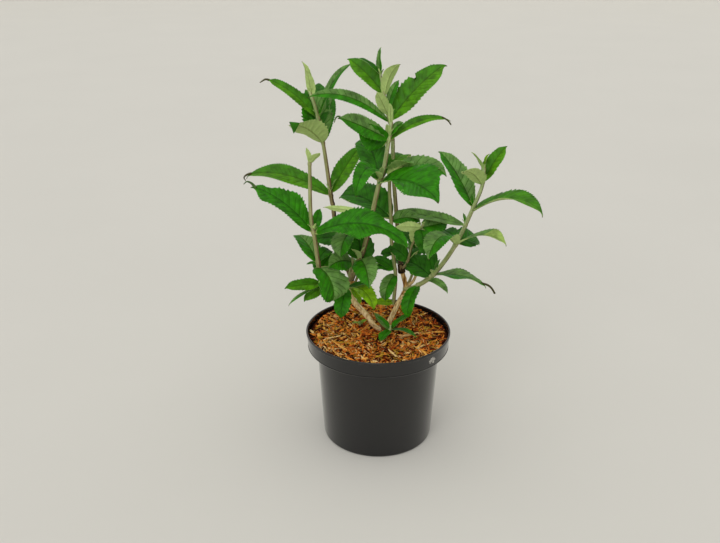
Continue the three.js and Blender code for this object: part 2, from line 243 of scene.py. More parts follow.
POT = [  # radius, height and rounding of each corner, from the underside to the floor inside
    (0.5, 0, 0), (50, 0, 0), (73, 0, 3), (81, 129.4, 0.8), (81.6, 130, 0.3), (92.2, 130, 1.8),
    (92.7, 130.8, 0.5), (94.4, 148.8, 0.3), (95, 149.4, 0.3), (95, 152, 0.9), (92.8, 152, 0.9),
    (90.6, 132.2, 0.8), (78.8, 132.2, 0.8), (70.8, 3, 2), (0.5, 3, 0),
]
DRAIN = {"holes": 8, "radius": 6, "circle": 58, "drilled": (-6, 9)}
SCUFF = {  # its scratches are to a metre
    "place": (66, -66, 141), "reach": 13, "tone": (168, 165, 158), "threshold": (0.3, 0.36),
    "scratches": 260, "detail": 3,
}


def rounded(corners, steps=5):
    """The profile with a parabola for each corner, which starts its rounding away from it."""
    place = np.array([corner[:2] for corner in corners], float)
    profile = []
    for index, (_, _, rounding) in enumerate(corners):
        if not rounding:
            profile.append(place[index])
            continue
        near = [place[index + way] - place[index] for way in (-1, 1)]
        start, stop = (place[index] + rounding * edge / np.hypot(*edge) for edge in near)
        for t in np.linspace(0, 1, steps):
            profile.append((1 - t) ** 2 * start + 2 * t * (1 - t) * place[index] + t**2 * stop)
    return profile


pot_plastic = finish(
    "black_moulded_plastic", [(13, 13, 14), (17, 17, 18)], 60, (26, 0.12), (0.1, 0.16),
    Specular_IOR_Level=0.5, Coat_Weight=0.2, Coat_Roughness=0.06,
)


def scuffed(material, scuff):
    """Pale scuffs where a fine noise passes the threshold within reach of the scuff's place."""
    nodes, link = material.node_tree.nodes, material.node_tree.links.new
    where = nodes.new("ShaderNodeTexCoord").outputs["Object"]
    away = nodes.new("ShaderNodeVectorMath")
    away.operation = "DISTANCE"
    away.inputs[1].default_value = Vector(scuff["place"]) * MM
    link(where, away.inputs[0])
    scratch = nodes.new("ShaderNodeTexNoise")
    scratch.inputs["Scale"].default_value = scuff["scratches"]
    scratch.inputs["Detail"].default_value = scuff["detail"]
    link(where, scratch.inputs["Vector"])
    both = nodes.new("ShaderNodeMath")
    both.operation = "MULTIPLY"
    link(mapped(material, away.outputs["Value"], (scuff["reach"] * MM, 0)), both.inputs[0])
    link(scratch.outputs["Fac"], both.inputs[1])
    blend = nodes.new("ShaderNodeMix")
    blend.data_type = "RGBA"
    blend.inputs["B"].default_value = shade(*scuff["tone"])
    base = nodes["Principled BSDF"].inputs["Base Color"]
    link(mapped(material, both.outputs["Value"], scuff["threshold"]), blend.inputs["Factor"])
    link(base.links[0].from_socket, blend.inputs["A"])
    link(blend.outputs["Result"], base)


scuffed(pot_plastic, SCUFF)
pot = piece("nursery_pot", [skin(turned(rounded(POT), 180))], [pot_plastic])
turns = 2 * pi * (np.arange(DRAIN["holes"]) + 0.5) / DRAIN["holes"]
drill = turned([(DRAIN["radius"], height) for height in DRAIN["drilled"]], 32)
shift = DRAIN["circle"] * np.stack([np.cos(turns), np.sin(turns), 0 * turns], axis=-1)
drills = piece("drills", [skin(drill + shift[:, None, None])], [pot_plastic])
cut = pot.modifiers.new("drain_holes", "BOOLEAN")
cut.object, cut.solver = drills, "EXACT"
bored = bpy.data.meshes.new_from_object(pot.evaluated_get(bpy.context.evaluated_depsgraph_get()))
pot.modifiers.clear()
pot.data = bored
pot.data.set_sharp_from_angle(angle=radians(32))
bpy.data.objects.remove(drills)
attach(pot, "root")
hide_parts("pot")


# ---------------------------------------------------------------- the potting mix
# Moist coir and bark mulch, filled to just below the rim: a dark crumbly bed under loose wood
# chips in orange-brown tones, long splinters, and fine coir fibres that lie over them. The bed's
# darkness is partly its own damp colour and partly painted shade in the gaps between the chips.

MIX = {  # heights at the middle and at the edge, with their radii, and the heap to the back
    "crown": 145.5, "flat": 24, "edge": 143, "edge_radius": 91.2,
    "heap": 4.5, "heap_start": 25, "heap_run": 45,
}
BED_WALL = [(1, 3.4), (70.4, 3.4), (78.4, 132.6), (90.2, 132.6), (91.3, 143)]  # radius, height
BED_RINGS = np.linspace(91, 1, 70)  # radii over the bed's surface
BED_LUMPS = [(14, 1), (5, 0.9), (2.2, 0.6)]  # breadth and height
LATTICE = 80  # cells of the noise each way
CHIP_TONES = [  # from damp and dark to dry and pale, and one greenish
    (82, 24, 8), (172, 72, 20), (224, 122, 40), (255, 154, 54), (255, 190, 90), (255, 216, 144),
    (200, 154, 44),
]
random = np.random.default_rng(11)


def lumps(x, y, cell, random):
    """Smooth noise from -1 to 1: random heights on a lattice of cells, blended by smoothsteps."""
    lattice = random.uniform(-1, 1, (LATTICE, LATTICE))
    u, v = np.array(x) / cell + LATTICE / 2, np.array(y) / cell + LATTICE / 2
    i, j = (np.floor(place).astype(int) % (LATTICE - 1) for place in (u, v))
    u, v = u - np.floor(u), v - np.floor(v)
    u, v = u * u * (3 - 2 * u), v * v * (3 - 2 * v)
    low = lattice[i, j] * (1 - u) + lattice[i + 1, j] * u
    high = lattice[i, j + 1] * (1 - u) + lattice[i + 1, j + 1] * u
    return low * (1 - v) + high * v


def mix_height(x, y):
    """The height of the bed: flat round the stems, falling to the edge, heaped up at the back."""
    share = np.clip((np.hypot(x, y) - MIX["flat"]) / (MIX["edge_radius"] - MIX["flat"]), 0, 1)
    heap = MIX["heap"] * np.clip((np.array(y) - MIX["heap_start"]) / MIX["heap_run"], 0, 1)
    return MIX["crown"] + (MIX["edge"] - MIX["crown"]) * share + heap


bed = turned(BED_WALL + [(radius, 0) for radius in BED_RINGS], 200)
top = bed[len(BED_WALL) :]
top[..., 2] = mix_height(top[..., 0], top[..., 1])
for cell, height in BED_LUMPS:
    top[..., 2] += height * lumps(top[..., 0], top[..., 1], cell, random)
# The bed's tones are partly damp mix and partly painted shade for the gaps between the chips.
mix_bed_and_gap_shade = finish(
    "damp_mix_and_gap_shade", [(22, 5, 2), (54, 19, 6), (104, 48, 16)], 3, (1.2, 0.8), (0.85, 0.98),
    Specular_IOR_Level=0.08,
)
bed_piece = piece("mix_bed_and_gap_shade", [skin(bed)], [mix_bed_and_gap_shade])


def turned_over(points, yaw, pitch, roll):
    """Points turned about X by roll, about Y by pitch and about Z by yaw, one angle a row."""
    axes = [*np.moveaxis(points, -1, 0)]
    for angle, a, b in ((roll, 1, 2), (pitch, 2, 0), (yaw, 0, 1)):
        cosine, sine = np.cos(angle), np.sin(angle)
        axes[a], axes[b] = cosine * axes[a] - sine * axes[b], sine * axes[a] + cosine * axes[b]
    return np.stack(axes, axis=-1)


def scattered(count, reach, random):
    """Places spread evenly over the mix within a radius."""
    turn, radius = random.uniform(0, 2 * pi, count), reach * np.sqrt(random.uniform(0, 1, count))
    return radius * np.cos(turn), radius * np.sin(turn)


SPLINTER = np.array([[-1, 0.28], [-0.75, 0.85], [0, 1], [0.75, 0.8], [1, 0.22]])  # along, full
UNRULY = {"bend": 0.06, "tilt": 0.4, "roll": 0.7}  # spread of a share and of angles in radians


def splinters(x, y, lift, yaw, length, breadth, thick, random):
    """Torn wood chips: five-sided tubes, full in the middle, ragged and narrow at both ends."""
    count = len(x)
    along, full = SPLINTER.T
    turn = 2 * pi * np.arange(5) / 5
    ragged = random.uniform(0.72, 1.15, (count, 5, 5))
    across = full[:, None] * np.cos(turn) * ragged
    up = full[:, None] * np.sin(turn) * ragged
    half = np.broadcast_to(along[:, None], (count, 5, 5))
    bend = random.normal(0, UNRULY["bend"], (count, 1, 1)) * half**2
    grids = np.stack(
        [
            half * length[:, None, None] / 2,
            across * breadth[:, None, None] / 2 + bend * length[:, None, None],
            up * thick[:, None, None] / 2,
        ],
        axis=-1,
    )
    tilt = random.normal(0, UNRULY["tilt"], (count, 1, 1))
    roll = random.normal(0, UNRULY["roll"], (count, 1, 1))
    grids = turned_over(grids, yaw[:, None, None], tilt, roll)
    place = np.stack([x, y, mix_height(x, y) + lift], axis=-1)
    return grids + place[:, None, None]


CHIPS = {  # a mean size is shape times scale; to_wall limits the length by the way to the wall
    "count": 3700, "reach": 87, "wall": 91, "to_wall": 2.2, "shape": 4, "length_scale": 2,
    "length": (3, 22), "breadth_scale": 0.48, "breadth": (0.9, 5), "flatness": 0.35,
    "lift": (-1, 2.6), "greenish": 0.12,
}
DRYNESS = {"mean": 2.4, "spread": 1.8, "patches": 0.8, "patch": 30}  # in tones, and a patch's size
count = CHIPS["count"]
x, y = scattered(count, CHIPS["reach"], random)
length, breadth = (
    np.clip(random.gamma(CHIPS["shape"], CHIPS[f"{size}_scale"], count), *CHIPS[size])
    for size in ("length", "breadth")
)
short_way = CHIPS["wall"] - np.hypot(x, y)
length = np.minimum(length, CHIPS["to_wall"] * short_way)
lift = random.uniform(*CHIPS["lift"], count)
yaw = random.uniform(0, pi, count)
chips = splinters(x, y, lift, yaw, length, breadth, CHIPS["flatness"] * breadth, random)


def clouded(tone, low, high):
    """Two display colours: the tone times each share."""
    return [tuple(share * c for c in tone) for share in (low, high)]


chip_finishes = [
    finish(
        f"wood_chip_{number}", clouded(tone, 0.8, 1), 2.5, (0.7, 0.25), (0.7, 0.9),
        Specular_IOR_Level=0.1,
    )
    for number, tone in enumerate(CHIP_TONES)
]
dryness = DRYNESS["mean"] + DRYNESS["spread"] * random.normal(0, 1, count)
dryness += DRYNESS["patches"] * lumps(x, y, DRYNESS["patch"], random)
greenish = len(CHIP_TONES) - 1
tones = np.clip(np.round(dryness), 0, greenish - 1).astype(int)
tones[random.uniform(0, 1, count) < CHIPS["greenish"]] = greenish
chip_piece = piece("wood_chips", [skin(chips, tones[:, None, None])], chip_finishes, sharp=40)

LONG = {"lift": 2.3, "thick": 1.2, "tone": 4, "paler_tone": 5}
LONG_SPLINTERS = [  # from x, y to x, y, and breadth
    (-40, 6, -8, -9, 3.2), (10, -10, 50, -19, 3.6), (44, 14, 61, 3, 3), (51, -6, 88, 4, 2.4),
    (-61, 56, -55, 22, 9), (24, -14, 48, -12, 2.2), (-62, -34, -34, -48, 3), (8, -62, 34, -70, 3.4),
    (-70, 2, -74, 24, 3), (30, 50, 58, 42, 3), (-20, 66, 8, 74, 3.4), (52, -44, 62, -66, 3),
]
ends = np.array(LONG_SPLINTERS, float)
middle, run = (ends[:, :2] + ends[:, 2:4]) / 2, ends[:, 2:4] - ends[:, :2]
long_chips = splinters(
    middle[:, 0], middle[:, 1], np.full(len(ends), LONG["lift"]),
    np.arctan2(run[:, 1], run[:, 0]), np.hypot(*run.T), ends[:, 4],
    np.full(len(ends), LONG["thick"]), random,
)
long_tones = np.where(np.arange(len(ends)) % 3 == 1, LONG["paler_tone"], LONG["tone"])
long_skin = skin(long_chips, long_tones[:, None, None])
long_piece = piece("long_splinters", [long_skin], chip_finishes, sharp=40)

FIBRES = {  # sizes, the lift over the bed, and the tilt's spread in radians
    "count": 500, "reach": 82, "half_length": (3, 9), "bow": 2.2, "wave": 0.8,
    "radius": (0.14, 0.3), "lift": (1.2, 3.2), "tilt": 0.12,
}
FIBRE_TONES = {
    "pale_coir": [(150, 104, 56), (190, 148, 92)], "dark_coir": [(74, 40, 20), (108, 62, 30)],
}
count = FIBRES["count"]
each = (count, 1, 1)
x, y = scattered(count, FIBRES["reach"], random)
share = np.linspace(-1, 1, 9)[:, None]
turn = 2 * pi * np.arange(4) / 4
half_length = random.uniform(*FIBRES["half_length"], each)
bow = random.normal(0, FIBRES["bow"], each)
radius = random.uniform(*FIBRES["radius"], each) * np.sqrt(1.04 - share**2)
fibres = np.stack(
    np.broadcast_arrays(
        half_length * share + 0 * turn,
        bow * (1 - share**2) + radius * np.cos(turn),
        random.normal(0, FIBRES["wave"], each) * np.sin(2.2 * share) + radius * np.sin(turn),
    ),
    axis=-1,
)
yaw = random.uniform(0, 2 * pi, each)
fibres = turned_over(fibres, yaw, random.normal(0, FIBRES["tilt"], each), 0)
lift = random.uniform(*FIBRES["lift"], count)
fibres += np.stack([x, y, mix_height(x, y) + lift], axis=-1)[:, None, None]
fibre_finishes = [
    finish(name, tones, 6, (1, 0.1), (0.8, 0.9), Specular_IOR_Level=0.1)
    for name, tones in FIBRE_TONES.items()
]
fibre_tones = random.integers(0, 2, each)
fibre_piece = piece("coir_fibres", [skin(fibres, fibre_tones)], fibre_finishes)
for made in (bed_piece, chip_piece, long_piece, fibre_piece):
    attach(made, "root")
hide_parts("root_ball")


# ---------------------------------------------------------------- the old wood
# Two woody limbs fork out of a low flared base. Their bark is light tan, cracked lengthwise and
# peeling in thin strips. Old cuts stand as a brown knob, a pruned arm and a torn pale snag.

STEM_BASE = {"x": 7, "y": 4, "foot": 145, "sides": 48, "fluting": 0.16}
BASE_PROFILE = [  # radius, and height above the foot
    (0.3, -2), (8.4, -1), (7, 1), (6, 2.4), (5.4, 4.4), (5.2, 6.5), (4.6, 8), (3, 8.6), (0.3, 8.8),
]
OLD_WOOD = {  # radius at foot and tip, points along the centre line, depth of the bark's relief,
    # finish below a height, finish above it, and the height
    "left_limb": (
        (2.5, 4.4), [(5, 2, 149), (-3, -1, 154), (-17, -4, 175), (-34, 0, 195), (-36, 2, 219)],
        0.13, "tan_bark", "golden_old_wood", 214,
    ),
    "right_limb": (
        (3.1, 2.7), [(9, 5, 149), (15, 4, 161), (26, 4, 187), (35, 6, 206), (30, 8, 232)],
        0.13, "tan_bark", "golden_old_wood", 199,
    ),
    "left_arm": (
        (3, 2.6), [(-36, 1, 214), (-50, -6, 215), (-64, -13, 217)],
        0.13, "dark_old_wood", "dark_old_wood", 0,
    ),
    "right_knob": (
        (4.4, 3.4), [(30, 8, 229), (28, 8, 240)], 0.32, "dark_old_wood", "dark_old_wood", 0,
    ),
    "right_snag": (
        (2.4, 1.4), [(34, 6, 208), (44, 6, 216), (49, 7, 226)],
        0.13, "pale_torn_wood", "pale_torn_wood", 0,
    ),
}


def curve(path, steps=40):
    """Points along the centripetal Catmull-Rom curve through the path.

    Between two points the curve is a cubic whose end slopes weigh the neighbouring chords by the
    square roots of their lengths. Beyond the ends, the path goes on by its first and last chord.
    """
    path = np.array(path, float)
    path = np.concatenate([[2 * path[0] - path[1]], path, [2 * path[-1] - path[-2]]])
    p0, p1, p2, p3 = path[:-3], path[1:-2], path[2:-1], path[3:]
    chords = (p1 - p0, p2 - p1, p3 - p2)
    d0, d1, d2 = (np.sqrt(np.linalg.norm(chord, axis=1))[:, None] for chord in chords)
    out = d1 * ((p1 - p0) / d0 - (p2 - p0) / (d0 + d1) + (p2 - p1) / d1)
    into = d1 * ((p2 - p1) / d1 - (p3 - p1) / (d1 + d2) + (p3 - p2) / d2)
    t = (np.arange(steps) / steps)[:, None, None]
    cubic = (
        p1 + out * t + (3 * (p2 - p1) - 2 * out - into) * t**2 + (2 * (p1 - p2) + out + into) * t**3
    )
    return np.concatenate([cubic.transpose(1, 0, 2).reshape(-1, 3), path[-2:-1]])


def covered(points):
    """The length covered along the points up to each of them."""
    return np.concatenate([[0], np.cumsum(np.linalg.norm(np.diff(points, axis=0), axis=1))])


DOME = [(0.35, 0.92), (0.75, 0.68), (1, 0.34)]  # share of its height, share of the last ring


def tube(path, girth, sides, spacing, relief=None, tip=0.3):
    """Rings round the path's curve: an even taper, each radius times 1 plus the relief there.

    The relief is a function of millimetres along and of the angle round. Beyond the last ring, a
    dome of three narrowing rings closes the far end, as high as the tip's share of the radius.
    """
    points = curve(path)
    run = covered(points)
    along = np.linspace(0, run[-1], max(3, round(run[-1] / spacing)))
    centre = np.stack([np.interp(along, run, axis) for axis in points.T], axis=1)
    ahead = np.gradient(centre, along, axis=0)
    ahead /= np.linalg.norm(ahead, axis=1)[:, None]
    chord = points[-1] - points[0]
    guide = np.cross(chord, (0.2, 1, 0.1))
    normal = guide - ahead * (ahead @ guide)[:, None]
    normal /= np.linalg.norm(normal, axis=1)[:, None]
    second = np.cross(ahead, normal)
    turn = 2 * pi * np.arange(sides) / sides
    radius = (girth[0] + (girth[1] - girth[0]) * along / along[-1])[:, None] + 0 * turn
    if relief:
        radius = radius * (1 + relief(along[:, None], turn))
    rings = (
        centre[:, None]
        + (radius * np.cos(turn))[..., None] * normal[:, None]
        + (radius * np.sin(turn))[..., None] * second[:, None]
    )
    dome = [
        centre[-1] + girth[1] * (out * tip) * ahead[-1] + share * (rings[-1] - centre[-1])
        for out, share in DOME
    ]
    return np.concatenate([rings, dome])


def cracked(random, depth, waves=((3, 0.8), (7, 0.9), (13, 0.6), (24, 0.4))):
    """Bark relief: cracks that run along the wood and wander, given by their count and weight."""
    draws = random.uniform(0, 2 * pi, (len(waves), 3))
    speeds = random.uniform(0.05, 0.16, len(waves))

    def relief(along, turn):
        total = 0
        for (count, share), (phase, start, beat), speed in zip(waves, draws, speeds):
            wander = phase + 0.6 * np.sin(speed * along + start)
            wander = wander + 0.3 * np.sin(2.7 * speed * along + beat)
            total = total + share * (2 * np.abs(np.sin((count * turn + wander) / 2)) ** 0.6 - 1)
        return depth * total / len(waves)

    return relief


STRIPS = {  # kept off both ends of the wood by so many points of its curve
    "count": 16, "length": (7, 15), "lift": (0.4, 1.6), "width": (0.7, 1.5), "kept_off": (4, 30),
    "clear": 1.02,
}
STRIP_CORNERS = [(1, -0.12), (-1, -0.12), (-1, 0.12), (1, 0.12)]  # share of half width, height


def peeling(girth, path, random):
    """Loose strips of bark: thin tapered bands along the wood, lifted off at their upper end."""
    points = curve(path)
    share = np.linspace(0, 1, 8)
    first, last = STRIPS["kept_off"]
    pick = random.integers(first, len(points) - last, STRIPS["count"])
    spans = (STRIPS["length"], (0, 2 * pi), STRIPS["lift"], STRIPS["width"])
    drawn = [random.uniform(*span, STRIPS["count"]) for span in spans]
    bands = []
    for start, size, turn, lift, wide in zip(pick, *drawn):
        ahead = points[start + 1] - points[start]
        ahead /= np.linalg.norm(ahead)
        side = np.cross(ahead, (np.cos(turn), np.sin(turn), 0.1))
        side /= np.linalg.norm(side)
        out = np.cross(side, ahead)
        radius = np.mean(girth) * STRIPS["clear"]
        spine = points[start] + np.outer(size * share, ahead)
        spine += np.outer(radius + lift * share**2, out)
        half = wide / 2 * np.sqrt(1.02 - (2 * share - 1) ** 4)
        edges = [spine + np.outer(half * x, side) + z * out for x, z in STRIP_CORNERS]
        bands.append(np.stack(edges, axis=1))
    return np.array(bands)


WOOD_TONES = {
    "tan_bark": [(176, 132, 80), (236, 208, 154), (255, 240, 198)],
    "bark_crack": [(70, 40, 14), (120, 84, 42)],
    "dark_old_wood": [(20, 14, 8), (52, 38, 20), (172, 150, 104)],
    "golden_old_wood": [(96, 60, 24), (176, 130, 70), (226, 194, 136)],
    "pale_torn_wood": [(168, 132, 84), (232, 206, 152)],
}
wood_finishes = [
    finish(
        name, tones, 4, (0.7, 0.35), (0.75, 0.92), stretch=(1.6, 1.6, 0.4), Specular_IOR_Level=0.15
    )
    for name, tones in WOOD_TONES.items()
]
wood_slot = {name: number for number, name in enumerate(WOOD_TONES)}
sides = STEM_BASE["sides"]
base = turned([(radius, STEM_BASE["foot"] + height) for radius, height in BASE_PROFILE], sides)
angle = 2 * pi * np.arange(sides) / sides
flutes = 1 + cracked(random, STEM_BASE["fluting"])(base[..., 2], angle)
base[..., :2] *= flutes[..., None]
base += (STEM_BASE["x"], STEM_BASE["y"], 0)
base_piece = piece("flared_base", [skin(base, wood_slot["bark_crack"])], wood_finishes)
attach(base_piece, "root")
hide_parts("stem_base")

CRACK_LEVEL = -0.03  # bark lower than this share of the radius is dark


def bark_slots(rings, relief, length, below, above, height):
    """Finishes of the faces of a barked tube: cracks where the relief is low, else its wood."""
    along = np.linspace(0, length, len(rings) - 3)
    low = relief(along[:, None], 2 * pi * np.arange(rings.shape[1]) / rings.shape[1]) < CRACK_LEVEL
    low = np.concatenate([low, np.repeat(low[-1:], 2, axis=0)])
    plain = np.where(rings[:-1, :, 2] < height, wood_slot[below], wood_slot[above])
    return np.where(low, wood_slot["bark_crack"], plain)


for name, (girth, path, depth, *change) in OLD_WOOD.items():
    relief = cracked(random, depth)
    wood = tube(path, girth, 80, 0.8, relief)
    slots = bark_slots(wood, relief, covered(curve(path))[-1], *change)
    old = piece(f"{name}_bark", [skin(wood, slots)], wood_finishes)
    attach(old, "root")
    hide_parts(name)
peels = [
    skin(peeling(*OLD_WOOD[name][:2], random), wood_slot["pale_torn_wood"])
    for name in ("left_limb", "right_limb")
]
peel_piece = piece("peeling_strips", peels, wood_finishes)
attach(peel_piece, "root")


# ---------------------------------------------------------------- the bare young stems
# Last year's growth below the leaves: slim four-cornered stems, smooth and olive to purplish
# brown, with a swollen ring and two leaf scars at each old node.

YOUNG_STEMS = {  # radii, points, tones at foot and tip in STEM_TONES
    "back_stem": (
        (3, 2.6), [(-36, 2, 210), (-36, 14, 218), (-46, 25, 242), (-54, 30, 272), (-59, 33, 315)],
        (1, 2),
    ),
    "leaning_stem": ((3.4, 3), [(-36, 2, 219.4), (-33, 0, 228), (-28, -3, 245)], (2, 3)),
    "tall_stem": (
        (2.6, 2.3),
        [(31, 7, 228), (28, 15, 244), (25, 16, 274), (21.5, 18, 312), (17.5, 18, 358),
         (16, 16, 402)],
        (0, 5),
    ),
    "right_spur": ((2.7, 2.6), [(33, 6, 206), (41, 1, 209), (51, -1.2, 214.6)], (3, 4)),
}
STEM_TONES = [
    ((46, 30, 18), (74, 52, 32)), ((90, 70, 46), (124, 98, 68)), ((118, 104, 68), (150, 134, 96)),
    ((140, 136, 88), (166, 160, 114)), ((146, 154, 96), (174, 180, 126)),
    ((162, 178, 118), (194, 206, 154)),
]
stem_finishes = [
    finish(
        f"stem_tone_{number}", tones, 6, (0.5, 0.12), (0.6, 0.78), stretch=(1.4, 1.4, 0.35),
        Specular_IOR_Level=0.2,
    )
    for number, tones in enumerate(STEM_TONES)
]
JOINT = {"first": 12, "apart": 31, "length": 1.6}  # swollen rings along a stem
# Painted shade: the side of a stem turned to +X, away from the lights, is browner and darker.
PAINTED_SHADE_SIDE = {"tones": 2.2, "from": 0.25}  # tones browner, where a face looks to +X by this share


def jointed(nodes, swell=0.3, corners=0.07):
    """Stem relief: four soft corners, and a swelling at each node, in millimetres along."""

    def relief(along, turn):
        total = corners * np.cos(4 * turn)
        for number, node in enumerate(nodes):
            scars = 0.6 + 0.4 * np.cos(2 * turn + pi * number)
            total = total + swell * scars * np.exp(-(((along - node) / JOINT["length"]) ** 2))
        return total

    return relief


def toned(rings, tones, random):
    """Stem tones from foot to tip on a tube's faces, and browner painted shade on its side to +X.
    """
    n, m = rings.shape[0] - 1, rings.shape[1]
    share = np.linspace(0, 1, n)[:, None] ** 0.7
    border = 0.35 * np.sin(3 * 2 * pi * np.arange(m) / m + random.uniform(0, 6, (n, 1)) * 0.3)
    out = rings[:-1] - rings[:-1].mean(axis=1, keepdims=True)
    to_x = out[..., 0] / np.linalg.norm(out, axis=-1).clip(0.01)
    painted_shade = PAINTED_SHADE_SIDE["tones"] * (to_x > PAINTED_SHADE_SIDE["from"])
    level = tones[0] + (tones[1] - tones[0]) * share + border - painted_shade
    return np.clip(np.round(level), 0, max(tones)).astype(int)


for name, (girth, path, tones) in YOUNG_STEMS.items():
    length = np.linalg.norm(np.diff(np.array(path), axis=0), axis=1).sum()
    stem = tube(path, girth, 28, 0.9, jointed(np.arange(JOINT["first"], length, JOINT["apart"])))
    bare = piece(f"{name}_skin", [skin(stem, toned(stem, tones, random))], stem_finishes)
    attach(bare, "root")
    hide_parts(name)
